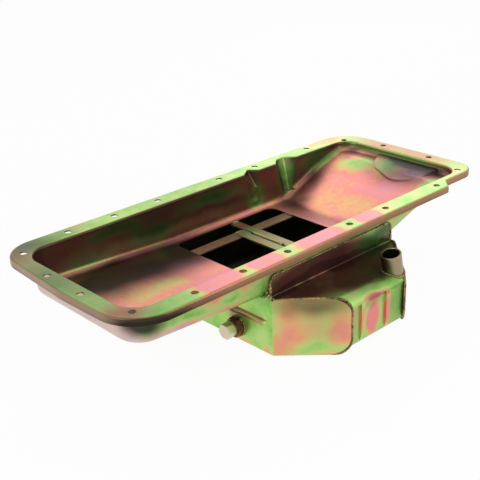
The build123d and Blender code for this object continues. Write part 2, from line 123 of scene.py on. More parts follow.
def make_spot_group():
    """A node group that adds a soft spot to a number.

    The distance from the centre is measured in reaches. The whole amount is added up to
    the core, a share of the reach, and from there it fades smoothly to nothing at 1.
    """
    group = bpy.data.node_groups.new("soft spot", "ShaderNodeTree")
    for name, kind in (("Point", "NodeSocketVector"), ("Centre", "NodeSocketVector"),
                       ("Reach", "NodeSocketVector"), ("Amount", "NodeSocketFloat"),
                       ("So far", "NodeSocketFloat")):
        group.interface.new_socket(name, in_out="INPUT", socket_type=kind)
    group.interface.new_socket("Total", in_out="OUTPUT", socket_type="NodeSocketFloat")
    entry = group.nodes.new("NodeGroupInput")
    leave = group.nodes.new("NodeGroupOutput")
    away = group.nodes.new("ShaderNodeVectorMath")
    away.operation = "SUBTRACT"
    scaled = group.nodes.new("ShaderNodeVectorMath")
    scaled.operation = "DIVIDE"
    length = group.nodes.new("ShaderNodeVectorMath")
    length.operation = "LENGTH"
    fade = group.nodes.new("ShaderNodeMapRange")
    fade.interpolation_type = "SMOOTHSTEP"
    fade.inputs["From Min"].default_value = 1.0
    fade.inputs["From Max"].default_value = SPOT_CORE
    add = group.nodes.new("ShaderNodeMath")
    add.operation = "MULTIPLY_ADD"
    link = group.links.new
    link(entry.outputs["Point"], away.inputs[0])
    link(entry.outputs["Centre"], away.inputs[1])
    link(away.outputs["Vector"], scaled.inputs[0])
    link(entry.outputs["Reach"], scaled.inputs[1])
    link(scaled.outputs["Vector"], length.inputs[0])
    link(length.outputs["Value"], fade.inputs["Value"])
    link(fade.outputs["Result"], add.inputs[0])
    link(entry.outputs["Amount"], add.inputs[1])
    link(entry.outputs["So far"], add.inputs[2])
    link(add.outputs["Value"], leave.inputs["Total"])
    return group


SPOT = make_spot_group()
print("film ramp of", len(FILM_RAMP), "colours")

# %% [markdown]
# Each finish is one Principled shader. Its colour is the film colour times a shade, a
# second number that paints light into the colour: painted shade in the deep walls, the
# hollows and the corners, painted highlights where it is raised, and on the bung the
# metal's own rust brown. Wiring each material by hand would repeat the same nodes, so a
# small class holds the steps, and a finish reads as a few lines. Patterns sit on Object
# coordinates, so they stay in place.
# Millimetres are easier to read in the lists of spots; they are turned into metres here.

# %% building a plated finish
MM = 0.001
METALLIC, ROUGHNESS = 0.75, 0.36
DRIFT_SCALE, DRIFT_REACH = 11.0, 0.034      # the noise that wavers the spots' outlines
CLOUD_SCALES = (9.0, 34.0, 150.0)           # broad clouds, patches, fine mottling
# The pale colour mixed in: paler plating on the small pieces, a painted reflection of the white
# floor on the pan's outer left end.
BARE_ZINC_AND_REFLECTION = (0.80, 0.78, 0.70, 1.0)
DARKEST = 0.03
GRAIN_SCALE, GRAIN_DEPTH = 420.0, 0.0004
EDGE_ON = 0.002                             # how near to edge-on a face still counts
SKIN_STEP = 0.0004


class Finish:
    """A plated material while it is being wired: the tree, the point and the normal."""

    def __init__(self, name, metallic=METALLIC, roughness=ROUGHNESS):
        self.material = bpy.data.materials.new(name)
        self.material.use_nodes = True
        self.tree = self.material.node_tree
        self.shader = self.tree.nodes["Principled BSDF"]
        self.shader.inputs["Metallic"].default_value = metallic
        self.shader.inputs["Roughness"].default_value = roughness
        place = self.tree.nodes.new("ShaderNodeTexCoord")
        self.place = place.outputs["Object"]
        self.normal = place.outputs["Normal"]
        self.point = self.waver()

    def link(self, start, end):
        """Joins an output to an input."""
        self.tree.links.new(start, end)

    def math(self, operation, *values):
        """One Math node; each value is a number or a socket."""
        node = self.tree.nodes.new("ShaderNodeMath")
        node.operation = operation
        for socket, value in zip(node.inputs, values):
            if isinstance(value, (int, float)):
                socket.default_value = value
            else:
                self.link(value, socket)
        return node.outputs["Value"]

    def vector(self, operation, first, second):
        """One Vector Math node; the second value is a tuple or a socket."""
        node = self.tree.nodes.new("ShaderNodeVectorMath")
        node.operation = operation
        self.link(first, node.inputs[0])
        if isinstance(second, tuple):
            node.inputs[1].default_value = second
        else:
            self.link(second, node.inputs[1])
        return node

    def noise(self, scale, detail=2.0, roughness=0.5):
        """Noise on the object's own coordinates, about 0.5 on average."""
        node = self.tree.nodes.new("ShaderNodeTexNoise")
        node.inputs["Scale"].default_value = scale
        node.inputs["Detail"].default_value = detail
        node.inputs["Roughness"].default_value = roughness
        self.link(self.place, node.inputs["Vector"])
        return node

    def waver(self):
        """The place moved about by slow noise, so that no spot has an even outline."""
        drift = self.noise(DRIFT_SCALE, 3.0, 0.55)
        centred = self.vector("SUBTRACT", drift.outputs["Color"], (0.5, 0.5, 0.5))
        small = self.vector("MULTIPLY", centred.outputs["Vector"], (DRIFT_REACH,) * 3)
        return self.vector("ADD", self.place, small.outputs["Vector"]).outputs["Vector"]

    def span(self, value, start, end, low=0.0, high=1.0):
        """A number that goes smoothly from low at start to high at end."""
        node = self.tree.nodes.new("ShaderNodeMapRange")
        node.interpolation_type = "SMOOTHSTEP"
        for name, number in (("From Min", start), ("From Max", end),
                             ("To Min", low), ("To Max", high)):
            node.inputs[name].default_value = number
        self.link(value, node.inputs["Value"])
        return node.outputs["Result"]

    def split(self, vector):
        """The three numbers of a point or a direction."""
        node = self.tree.nodes.new("ShaderNodeSeparateXYZ")
        self.link(vector, node.inputs["Vector"])
        return node.outputs["X"], node.outputs["Y"], node.outputs["Z"]

    def outside(self, centre, skin=None):
        """1 on faces that look away from the centre of a hollow, 0 on those inside it.

        Beyond the skin, a place across the engine, only faces that look back are inside.
        """
        away = self.vector("SUBTRACT", self.place, centre).outputs["Vector"]
        look = self.vector("DOT_PRODUCT", self.normal, away).outputs["Value"]
        found = self.span(look, -EDGE_ON, EDGE_ON)
        if skin is None:
            return found
        y = self.split(self.place)[1]
        face_y = self.split(self.normal)[1]
        beyond = self.math("MULTIPLY", self.span(y, skin, skin - SKIN_STEP),
                           self.span(face_y, 0.5, 0.3))
        return self.math("MAXIMUM", found, beyond)

    def blend(self, factor, first, second):
        """A number that is first where factor is 0 and second where it is 1."""
        node = self.tree.nodes.new("ShaderNodeMix")
        node.data_type = "FLOAT"
        sockets = (node.inputs[0], node.inputs[2], node.inputs[3])
        for socket, value in zip(sockets, (factor, first, second)):
            if isinstance(value, (int, float)):
                socket.default_value = value
            else:
                self.link(value, socket)
        return node.outputs[0]

    def spots(self, total, places):
        """Adds soft spots, (centre mm, reach mm, amount), to a number."""
        for centre, reach, amount in places:
            node = self.tree.nodes.new("ShaderNodeGroup")
            node.node_tree = SPOT
            self.link(self.point, node.inputs["Point"])
            node.inputs["Centre"].default_value = [v * MM for v in centre]
            node.inputs["Reach"].default_value = [v * MM for v in reach]
            node.inputs["Amount"].default_value = amount
            if isinstance(total, (int, float)):
                node.inputs["So far"].default_value = total
            else:
                self.link(total, node.inputs["So far"])
            total = node.outputs["Total"]
        return total

    def clouds(self, base, slow=0.30, middle=0.30, fast=0.12):
        """A film that wanders about base: broad clouds, patches and a fine mottling."""
        total = base - (slow + middle + fast) / 2
        for scale, amount in zip(CLOUD_SCALES, (slow, middle, fast)):
            cloud = self.noise(scale, 3.0, 0.6).outputs["Fac"]
            total = self.math("MULTIPLY_ADD", cloud, amount, total)
        return total

    def finish(self, film, shade, grain=0.05, pale=0.0):
        """Turns film and shade into colour, and adds the faint grain of the plate.

        Pale, a number or a socket, is the share of a pale zinc colour that is mixed in: on
        the pan's outer left end it is a painted reflection of the white floor, on the small
        pieces a paler plating.
        """
        ramp = self.tree.nodes.new("ShaderNodeValToRGB")
        stops = ramp.color_ramp.elements
        while len(stops) < len(FILM_RAMP):
            stops.new(0.5)
        for stop, (place, colour) in zip(stops, FILM_RAMP):
            stop.position = place
            stop.color = (*colour, 1.0)
        self.link(film, ramp.inputs["Fac"])
        paler = self.tree.nodes.new("ShaderNodeMix")
        paler.data_type = "RGBA"
        if isinstance(pale, (int, float)):
            paler.inputs[0].default_value = pale
        else:
            self.link(pale, paler.inputs[0])
        self.link(ramp.outputs["Color"], paler.inputs[6])
        paler.inputs[7].default_value = BARE_ZINC_AND_REFLECTION
        darker = self.tree.nodes.new("ShaderNodeVectorMath")
        darker.operation = "SCALE"
        self.link(paler.outputs[2], darker.inputs[0])
        self.link(self.math("MAXIMUM", shade, DARKEST), darker.inputs["Scale"])
        self.link(darker.outputs["Vector"], self.shader.inputs["Base Color"])
        bump = self.tree.nodes.new("ShaderNodeBump")
        bump.inputs["Strength"].default_value = grain
        bump.inputs["Distance"].default_value = GRAIN_DEPTH
        self.link(self.noise(GRAIN_SCALE, 3.0).outputs["Fac"], bump.inputs["Height"])
        self.link(bump.outputs["Normal"], self.shader.inputs["Normal"])
        return self.material


print("a finish has clouds at", len(CLOUD_SCALES), "sizes, and soft spots")

# %% [markdown]
# The pan is one sheet with three kinds of place: the flat flange, which dried green,
# the turned-down lip, and the walls. Each has its own film and its own painted shade:
# the walls are dark, the lip darkens towards its bottom, and the flange stays light. The
# inside of the walls is told from the outside by its normal, which points back towards
# the middle of the well.

# %% the pan's finish
INSIDE_CENTRE = (0.0, 0.0, 0.10)
FLANGE_FILM = [
    ((-285, 100, 0), (36, 60, 30), 0.20), ((-284, -96, 0), (36, 30, 30), 0.34),
    ((-244, -114, 0), (34, 34, 30), -0.08), ((-172, -114, 0), (44, 36, 30), 0.80),
    ((-105, -112, 0), (34, 36, 30), 0.80), ((-18, -114, 0), (52, 38, 30), 0.85),
    ((68, -112, 0), (30, 36, 30), 0.80), ((262, -106, 0), (46, 30, 30), 0.10),
    ((296, 10, 0), (30, 130, 30), 0.30), ((255, 116, 0), (56, 22, 30), 0.30),
    ((-190, 120, 0), (50, 16, 30), 0.08), ((104, -112, 0), (24, 24, 30), 0.14),
]
# Painted shade on the flange: darker towards both ends and in the left corners, and a little
# along the near rail.
FLANGE_SHADE = [
    ((-300, 20, 0), (150, 400, 30), -0.42), ((-288, 0, 0), (40, 110, 30), -0.12),
    ((-290, -100, 0), (50, 40, 30), -0.26), ((296, 10, 0), (50, 140, 30), -0.36),
    ((-276, 108, 0), (60, 40, 30), -0.22), ((-225, 118, 0), (90, 40, 30), -0.20),
    ((-298, 40, 0), (40, 90, 30), -0.16), ((-20, -114, 0), (200, 30, 30), -0.12),
]
FLOOR_FILM = [
    ((-230, -60, -45), (70, 60, 30), -0.20), ((-205, 44, -50), (80, 50, 30), -0.05),
    ((-185, -5, -49), (40, 26, 30), -0.16), ((-148, 2, -53), (34, 26, 30), -0.26),
    ((-84, 4, -55), (44, 28, 30), -0.02), ((-90, 30, -55), (40, 20, 30), 0.06),
    ((-80, 72, -55), (46, 26, 20), -0.46), ((162, 20, -46), (40, 50, 34), -0.10),
    ((172, -22, -44), (44, 40, 34), -0.13), ((200, -30, -36), (40, 60, 34), 0.08),
    ((246, 44, -18), (34, 28, 40), -0.42), ((238, 70, -20), (26, 22, 40), -0.24),
    ((262, 66, -14), (24, 20, 40), 0.14), ((258, 2, -12), (36, 36, 40), -0.40),
    ((268, -40, -9), (36, 36, 40), 0.22), ((240, -80, -12), (40, 12, 40), -0.36),
    ((240, 98, -14), (60, 12, 40), -0.40),
]
# Painted shade on the floor and the ramp: darkest along the back wall and the end walls, at the
# foot of the ramp and on the pad; the one positive amount is a painted highlight.
FLOOR_SHADE = [
    ((-160, 66, -52), (260, 84, 30), -0.86), ((-60, 60, -55), (50, 60, 30), -0.20),
    ((-84, 2, -55), (42, 28, 30), 0.16), ((140, 64, -55), (28, 34, 30), -0.13),
    ((-190, 40, -50), (120, 60, 30), -0.14), ((165, -10, -42), (60, 90, 40), -0.10),
    ((122, 20, -56), (30, 130, 16), -0.42), ((196, 98, -44), (46, 46, 34), -0.72),
    ((150, 84, -55), (50, 44, 24), -0.55), ((252, -30, -9), (66, 86, 40), -0.76),
    ((240, 100, -16), (70, 12, 40), -0.62), ((255, 40, -16), (50, 34, 40), -0.20),
    ((286, 20, -10), (30, 140, 30), -0.55), ((294, 100, -26), (30, 16, 22), -0.40),
    ((-262, 20, -44), (26, 110, 26), -0.34), ((-190, 94, -46), (70, 12, 16), -0.10),
    ((266, 80, -12), (36, 18, 30), -0.36), ((276, -72, -8), (26, 28, 30), -0.40),
]
WALL_FILM = [
    ((-250, 100, -30), (70, 20, 50), 0.06), ((-200, 98, -40), (60, 20, 24), -0.24),
    ((-150, 100, -14), (70, 14, 14), -0.46), ((-95, 100, -32), (60, 14, 22), -0.40),
    ((5, 100, -16), (84, 16, 15), -0.54), ((84, 100, -34), (24, 16, 26), -0.58),
    ((150, 104, -20), (34, 20, 40), -0.54), ((215, 100, -14), (50, 20, 22), -0.50),
    ((281, 10, -8), (34, 130, 30), -0.34),
]
# Painted light on the inner walls: painted highlights on the back wall, round its pockets and on
# the right end wall, and one faint painted shade.
WALL_SHADE = [
    ((10, 100, -18), (84, 14, 12), 0.06), ((84, 100, -36), (18, 14, 22), 0.24),
    ((156, 110, -20), (16, 16, 46), 0.36), ((-60, 100, -42), (260, 20, 15), 0.14),
    ((282, 10, -8), (30, 130, 30), 0.22), ((-200, 98, -38), (70, 26, 24), 0.08),
    ((84, 112, -10), (24, 14, 16), -0.04),
]
OUTER_FILM = [
    ((-262, -96, -44), (80, 30, 14), 0.40), ((-280, 0, -30), (30, 200, 60), 0.50),
    ((-215, -102, -46), (44, 14, 16), 0.48), ((-170, -102, -22), (40, 14, 20), 0.46),
    ((-146, -102, -46), (44, 14, 14), 0.44), ((-120, -102, -24), (28, 14, 14), 0.22),
    ((160, -100, -30), (60, 14, 30), 0.06), ((-132, -102, -36), (40, 14, 24), -0.16),
    ((-150, 104, -30), (70, 20, 40), 0.30), ((50, 104, -22), (80, 20, 36), 0.42),
    ((190, 104, -18), (60, 20, 24), 0.30),
]
# A painted reflection of the white floor: the outside of the left end and its near lower corner
# are mixed towards a pale zinc colour.
OUTER_PAINTED_REFLECTION = [
    ((-280, 0, -30), (40, 200, 60), 0.68), ((-250, -100, -44), (70, 30, 16), 0.40),
]
# Painted shade on the outer walls: a dark painted reflection at the near-left corner, and
# painted shade under the lip along the near side.
OUTER_SHADE = [
    ((-266, -98, -24), (42, 34, 20), -0.78), ((-200, -103, -10), (260, 14, 9), -0.30),
    ((60, -103, -20), (230, 14, 18), -0.40),
]
# Painted light on the lip: a dark painted reflection at its near-left corner, a faint painted
# shade further along, and faint painted highlights at the left end and the near right.
LIP_SHADE = [
    ((-276, -118, -6), (66, 46, 18), -0.36), ((-215, -127, -6), (50, 14, 14), -0.12),
    ((-296, 30, -6), (18, 110, 14), 0.10), ((240, -118, -6), (90, 30, 14), 0.08),
]
# A pair holds where a mask starts and where it is full: a height, a place across the
# engine, or how far a face looks up. The single numbers are amounts of film or shade.
FLANGE_HEIGHT, FLANGE_LEVEL = (-0.0014, -0.0005), (0.55, 0.90)
FLOOR_DEPTH, FLOOR_LEVEL = (-0.0045, -0.0068), (0.35, 0.85)
LIP_HEIGHT = (-0.0102, -0.0090)
RIM_HEIGHT, FAR_SIDE = (-0.007, -0.002), (0.080, 0.095)
THICKEST_ON_FLANGE = 0.66
PATCH_SCALE, PATCH_AMOUNT, PATCH_OFFSET = 44.0, 0.36, 0.09
# The walls' shade: NEAR_RIM is a painted highlight along the top of the near and end walls,
# FAR_RIM a dark painted shade line along the far rim, and DEEP_WALL painted shade on the walls
# below.
NEAR_RIM, FAR_RIM, DEEP_WALL = 0.36, 0.07, 0.10
# Painted shade on the lip: darker towards its bottom, lighter up at its bend.
LIP_LOW, LIP_HIGH = (-0.009, 0.30), (-0.003, 0.42)      # height and shade at each


def flange_film_of(finish):
    """Thin film with thick runs; patches are added after the runs are levelled off."""
    film = finish.spots(finish.clouds(0.16, 0.14, 0.30, 0.10), FLANGE_FILM)
    film = finish.math("MINIMUM", film, THICKEST_ON_FLANGE)
    patches = finish.noise(PATCH_SCALE, 3.0, 0.6).outputs["Fac"]
    film = finish.math("MULTIPLY_ADD", patches, PATCH_AMOUNT, film)
    return finish.math("SUBTRACT", film, PATCH_OFFSET)


def make_pan_finish():
    """Flange, lip, inside and outside, each with its own film and painted shade."""
    finish = Finish("yellow_zinc_pan")
    _, y, z = finish.split(finish.place)
    up = finish.split(finish.normal)[2]
    outside = finish.outside(INSIDE_CENTRE)
    flange = finish.math("MULTIPLY", finish.span(z, *FLANGE_HEIGHT),
                         finish.span(up, *FLANGE_LEVEL))
    level = finish.math("MULTIPLY", finish.span(up, *FLOOR_LEVEL),
                        finish.span(z, *FLOOR_DEPTH))
    lip = finish.math("MULTIPLY", finish.span(z, *LIP_HEIGHT), outside)

    floor_film = finish.spots(finish.clouds(0.70, 0.22, 0.20, 0.40), FLOOR_FILM)
    wall_film = finish.spots(finish.clouds(0.62, 0.24, 0.36), WALL_FILM)
    inner_film = finish.blend(level, wall_film, floor_film)
    outer_film = finish.spots(finish.clouds(0.26, 0.40, 0.80), OUTER_FILM)
    outer_film = finish.blend(lip, outer_film, finish.clouds(0.58, 0.10, 0.14))
    film = finish.blend(outside, inner_film, outer_film)
    film = finish.blend(flange, film, flange_film_of(finish))

    # From here on the shade is painted light: painted shade on the walls, floor, lip and flange,
    # and painted highlights where it is raised.
    rim = finish.blend(finish.span(y, *FAR_SIDE), NEAR_RIM, FAR_RIM)
    wall_shade = finish.blend(finish.span(z, *RIM_HEIGHT), DEEP_WALL, rim)
    wall_shade = finish.spots(wall_shade, WALL_SHADE)
    inner_shade = finish.blend(level, wall_shade, finish.spots(0.95, FLOOR_SHADE))
    lip_shade = finish.span(z, LIP_LOW[0], LIP_HIGH[0], LIP_LOW[1], LIP_HIGH[1])
    lip_shade = finish.spots(lip_shade, LIP_SHADE)
    outer_shade = finish.blend(lip, finish.spots(0.85, OUTER_SHADE), lip_shade)
    shade = finish.blend(outside, inner_shade, outer_shade)
    shade = finish.blend(flange, shade, finish.spots(0.95, FLANGE_SHADE))
    # The pale share is a painted reflection of the white floor, on the outside only.
    pale = finish.math("MULTIPLY", finish.spots(0.0, OUTER_PAINTED_REFLECTION), outside)
    return finish.finish(film, shade, pale=finish.blend(flange, pale, 0.0))


pan_finish = make_pan_finish()
print("pan finish:", len(pan_finish.node_tree.nodes), "nodes")

# %% [markdown]
# The sump, its plates, the straps, the tube and the drain were plated in the same bath,
# and each took the film in its own way. Most need only one film and one shade, so one
# function makes them all. The inside of the sump gets little light and is left dark.

# %% a finish for a small piece
INSIDE_SHADE = 0.035
OUTER_SKIN = -0.1668


def make_plain_finish(name, film, shade, spots=(), dark=(), slow=0.3, hollow=None,
                      pale=0.0, least=DARKEST, most=1.0):
    """One film and shade all over, with spots; the inside of a hollow is left dark.

    Least is the darkest shade, and most the thickest film, that spots reach together.
    """
    finish = Finish(name)
    cloud = finish.math("MINIMUM", finish.spots(finish.clouds(film, slow), spots), most)
    # The shade: painted shade from the spots, and on some pieces the metal's own darker tone.
    tone_and_painted_shade = finish.math("MAXIMUM", finish.spots(shade, dark), least)
    if hollow:
        tone_and_painted_shade = finish.blend(finish.outside(hollow, OUTER_SKIN), INSIDE_SHADE, tone_and_painted_shade)
    return finish.finish(cloud, tone_and_painted_shade, pale=pale)


print("the inside of the sump has shade", INSIDE_SHADE)

# %% [markdown]
# The outer sheet of the sump is mostly green, with painted shade along the lap and the
# roof and beside and above the ribs. The spots of film on its outer face follow the
# ribs that are pressed into it.

# %% the sump's finish
SUMP_CENTRE = (0.022, -0.035, -0.095)
SUMP_FILM = [
    ((20, -102, -42), (260, 16, 30), 0.50), ((-10, -126, -58), (230, 40, 12), 0.42),
    ((92, -101, -44), (54, 18, 26), -0.50), ((-4.4, -172, -92), (8, 14, 36), 0.34),
    ((18, -168, -96), (17, 14, 36), 0.58), ((41, -172, -92), (8, 14, 32), 0.54),
    ((18, -168, -71), (36, 14, 7), 0.46), ((-16, -168, -84), (10, 12, 20), 0.20),
    ((-30, 96, -92), (60, 30, 34), 0.40), ((70, 96, -110), (50, 30, 30), 0.34),
]
# Painted shade along the lap and the roof, and beside and above the ribs.
SUMP_PAINTED_SHADE = [
    ((20, -101, -42), (400, 14, 26), -0.74), ((20, -124, -58), (400, 46, 14), -0.80),
    ((30, -152, -64), (90, 28, 14), -0.26), ((62, -170, -95), (22, 20, 50), -0.24),
    ((-16, -168, -95), (10, 12, 40), -0.16), ((20, -170, -71), (60, 12, 5), -0.30),
    ((15, -168, -76), (24, 12, 12), -0.26),
]
sump_finish = make_plain_finish("yellow_zinc_sump", 0.22, 0.92, SUMP_FILM, SUMP_PAINTED_SHADE,
                                hollow=SUMP_CENTRE, least=0.09, most=0.70)
print("sump finish:", len(SUMP_FILM), "spots of film,", len(SUMP_PAINTED_SHADE), "of shade")

# %% [markdown]
# The left end plate is folded, and its film changes from green on the flat part to tan
# on the slanting part. The normal tells the two apart. The bead
# pressed into the flat part is a shallow groove that shows as a darker, yellower band.

# %% the left plate's finish
BEAD_TOP, BEAD_FOOT = (-0.082, -0.085), (-0.0955, -0.0935)
BEAD_NEAR_END, BEAD_FAR_END = (-0.097, -0.090), (0.076, 0.070)
BEAD_FILM, BEAD_SHADE = 0.32, -0.45
SLANT_FACES = (-0.3, -0.6)
FLAT_FILM = [
    ((-91, -30, -62), (14, 70, 12), 0.20), ((-91, -96, -124), (12, 12, 12), 0.30),
    ((-91, -60, -126), (14, 34, 8), 0.34), ((-91, -84, -108), (14, 20, 18), 0.10),
    ((-91, -47, -104), (20, 20, 18), 0.36),
]
# On the flat part the level of 1.12 is a painted light level, the spots at its top and under the
# bead are painted shade, and the spot round the boss darkens a brown patch that the metal has
# there.
FLAT_SHADE = [
    ((-91, -40, -60), (14, 90, 12), -0.34), ((-91, -50, -92), (14, 40, 10), -0.24),
    ((-91, -47, -104), (20, 20, 20), -0.50),
]
SLANT_FILM = [
    ((-78, -119, -114), (26, 26, 26), 0.16), ((-36, -161, -104), (22, 22, 34), 0.14),
    ((-60, -137, -124), (40, 40, 20), -0.25), ((-50, -147, -84), (30, 30, 30), -0.03),
    ((-80, -117, -84), (20, 20, 26), 0.12), ((-88, -109, -80), (12, 12, 30), -0.12),
    ((-32, -165, -126), (20, 20, 16), -0.20), ((-56, -141, -130), (60, 60, 5), 0.16),
]
# Painted shade on the slanting part: darker at its top, under the roof, and a little in its
# middle.
SLANT_SHADE = [
    ((-58, -139, -60), (70, 70, 32), -0.62), ((-50, -147, -90), (40, 40, 40), -0.16),
]


def make_left_plate_finish():
    """The flat part dried green and the slanting part tan, with the change at the fold."""
    finish = Finish("yellow_zinc_left_plate")
    _, y, z = finish.split(finish.place)
    tall = finish.math("MULTIPLY", finish.span(z, *BEAD_TOP), finish.span(z, *BEAD_FOOT))
    wide = finish.math("MULTIPLY", finish.span(y, *BEAD_NEAR_END),
                       finish.span(y, *BEAD_FAR_END))
    pressed = finish.math("MULTIPLY", tall, wide)
    slanting = finish.span(finish.split(finish.normal)[1], *SLANT_FACES)
    flat = finish.spots(finish.clouds(0.18, 0.30, 0.40), FLAT_FILM)
    slant = finish.spots(finish.clouds(0.47, 0.20, 0.30), SLANT_FILM)
    flat = finish.math("MULTIPLY_ADD", pressed, BEAD_FILM, flat)
    flat_shade = finish.spots(1.12, FLAT_SHADE)
    flat_shade = finish.math("MULTIPLY_ADD", pressed, BEAD_SHADE, flat_shade)
    shade = finish.blend(slanting, flat_shade, finish.spots(1.0, SLANT_SHADE))
    shade = finish.blend(finish.outside(SUMP_CENTRE, OUTER_SKIN), INSIDE_SHADE, shade)
    return finish.finish(finish.blend(slanting, flat, slant), shade)


left_plate_finish = make_left_plate_finish()
print("left plate finish:", len(left_plate_finish.node_tree.nodes), "nodes")

# %% [markdown]
# Now every solid gets its finish. The two angle straps are a pair and share one. The
# plug is a loose screw and not part of the weldment, so it is given a paler film.

# %% hand out the finishes
TUBE_MIDDLE = (0.0695, -0.151, -0.049)
STRAP_SPOTS = [((28, -50, -56), (30, 40, 20), 0.30), ((30, 50, -56), (24, 20, 20), -0.16)]
# Painted shade on the side of the tube turned away from the light.
TUBE_PAINTED_SHADE = [((58, -146, -48), (18, 18, 34), -0.38)]
angle_finish = make_plain_finish("yellow_zinc_angle_strap", 0.42, 0.42, STRAP_SPOTS, pale=0.1)
# The second number of each piece is its shade: painted shade for the straps in the well and for
# the tube, and the metal's own rust brown for the bung.
finishes = {
    "pan_body": pan_finish,
    "sump_shell": sump_finish,
    "sump_plate_left": left_plate_finish,
    "sump_plate_right": make_plain_finish("yellow_zinc_right_plate", 0.30, 0.45,
                                          hollow=SUMP_CENTRE),
    "baffle_cross_strip": make_plain_finish("yellow_zinc_cross_strap", 0.56, 0.40, pale=0.15),
    "baffle_angle_left": angle_finish,
    "baffle_angle_right": angle_finish,
    "dipstick_tube": make_plain_finish("yellow_zinc_tube", 0.47, 0.46, slow=0.1, pale=0.25,
                                       hollow=TUBE_MIDDLE, dark=TUBE_PAINTED_SHADE),
    "drain_bung": make_plain_finish("yellow_zinc_bung", 0.68, 0.22),
    "sealing_washer": make_plain_finish("plated_washer", 0.50, 0.35),
    "drain_plug": make_plain_finish("pale_zinc_plug", 0.48, 1.0, pale=0.55),
}
for name, solid in nodes.items():
    solid.data.materials.clear()
    solid.data.materials.append(finishes[name])
print("finished", len(finishes), "solids")

# %% [markdown]
# Over a weld the plate comes out as dark gold puddles with black pits. Fine noise gives
# the pits, and slower noise makes some stretches darker than others.

# %% the welds' finish
PIT_SCALE, BURN_SCALE = 260.0, 60.0


def make_weld_finish():
    """Dark gold puddles with black pits: the film over burnt metal."""
    finish = Finish("weld_gold", metallic=0.55, roughness=0.5)
    pits = finish.noise(PIT_SCALE, 3.0, 0.6).outputs["Fac"]
    burnt = finish.noise(BURN_SCALE).outputs["Fac"]
    shade = finish.math("MULTIPLY", finish.span(pits, 0.36, 0.50, 0.06, 0.62),
                        finish.span(burnt, 0.38, 0.62, 0.40, 1.0))
    return finish.finish(finish.clouds(0.50), shade, grain=0.3)


weld_finish = make_weld_finish()
print("weld finish:", weld_finish.name)

# %% [markdown]
# The sheets are joined by welds. A weld bead is a row of small overlapping puddles. It
# could be sculpted by hand, but it follows a seam exactly, so each bead here is a tube
# carried along its seam. Its radius rises and falls with the puddles and is roughened by
# a little random noise. First comes the path that it follows, in millimetres.

# %% paths for the welds
ARC_STEPS = 8


def round_corners(corners):
    """A path through corners (x, y, z, bend): each bend is an arc that touches both sides.

    The arc turns its arm evenly from one touching point to the other: the two end arms
    are mixed by the sines of the angles still to go and gone.
    """
    points = np.array([c[:3] for c in corners], float)
    path = [points[0]]
    for before, at, after, (_, _, _, bend) in zip(points, points[1:], points[2:], corners[1:]):
        if bend == 0:
            path.append(at)
            continue
        back = (before - at) / np.linalg.norm(before - at)
        ahead = (after - at) / np.linalg.norm(after - at)
        half = math.acos(np.clip(back @ ahead, -1, 1)) / 2
        start = at + back * bend / math.tan(half)
        end = at + ahead * bend / math.tan(half)
        middle = at + (back + ahead) / np.linalg.norm(back + ahead) * bend / math.sin(half)
        sweep = math.pi - 2 * half
        for share in np.linspace(0, 1, ARC_STEPS):
            out, on = math.sin((1 - share) * sweep), math.sin(share * sweep)
            arm = (out * (start - middle) + on * (end - middle)) / math.sin(sweep)
            path.append(middle + arm)
    path.append(points[-1])
    return np.array(path)


def spread_evenly(path, pitch):
    """The same path with points every pitch along its length."""
    length = np.concatenate([[0], np.cumsum(np.linalg.norm(np.diff(path, axis=0), axis=1))])
    count = max(int(length[-1] / pitch), 3)
    at = np.linspace(0, length[-1], count)
    return np.stack([np.interp(at, length, path[:, k]) for k in range(3)], axis=1), at


print("paths turn a corner in", ARC_STEPS, "steps")

# %% [markdown]
# The bead is a grid of points: rows along the seam and columns round it. Puddles differ
# in length, so the place along the seam wanders a little before its sine is taken. No
# point goes below the bottom of the sump, because the pan stands on it.

# %% weld beads
BOTTOM_Z = -128.0
STEPS_A_PUDDLE = 6
AROUND = 10
KNOT_STRIDE, WANDER = 9, 0.35
VALLEY, CROWN = 0.82, 0.24
ROUGH = 0.22
random = np.random.default_rng(7)


def tube_faces(rows, columns):
    """Four corners for each face of a closed tube, and one cap at each end."""
    index = np.arange(rows * columns).reshape(rows, columns)
    following = np.roll(index, -1, axis=1)
    faces = np.stack([index[:-1], following[:-1], following[1:], index[1:]], axis=-1)
    caps = [tuple(index[0]), tuple(index[-1][::-1])]
    return [tuple(f) for f in faces.reshape(-1, 4)] + caps


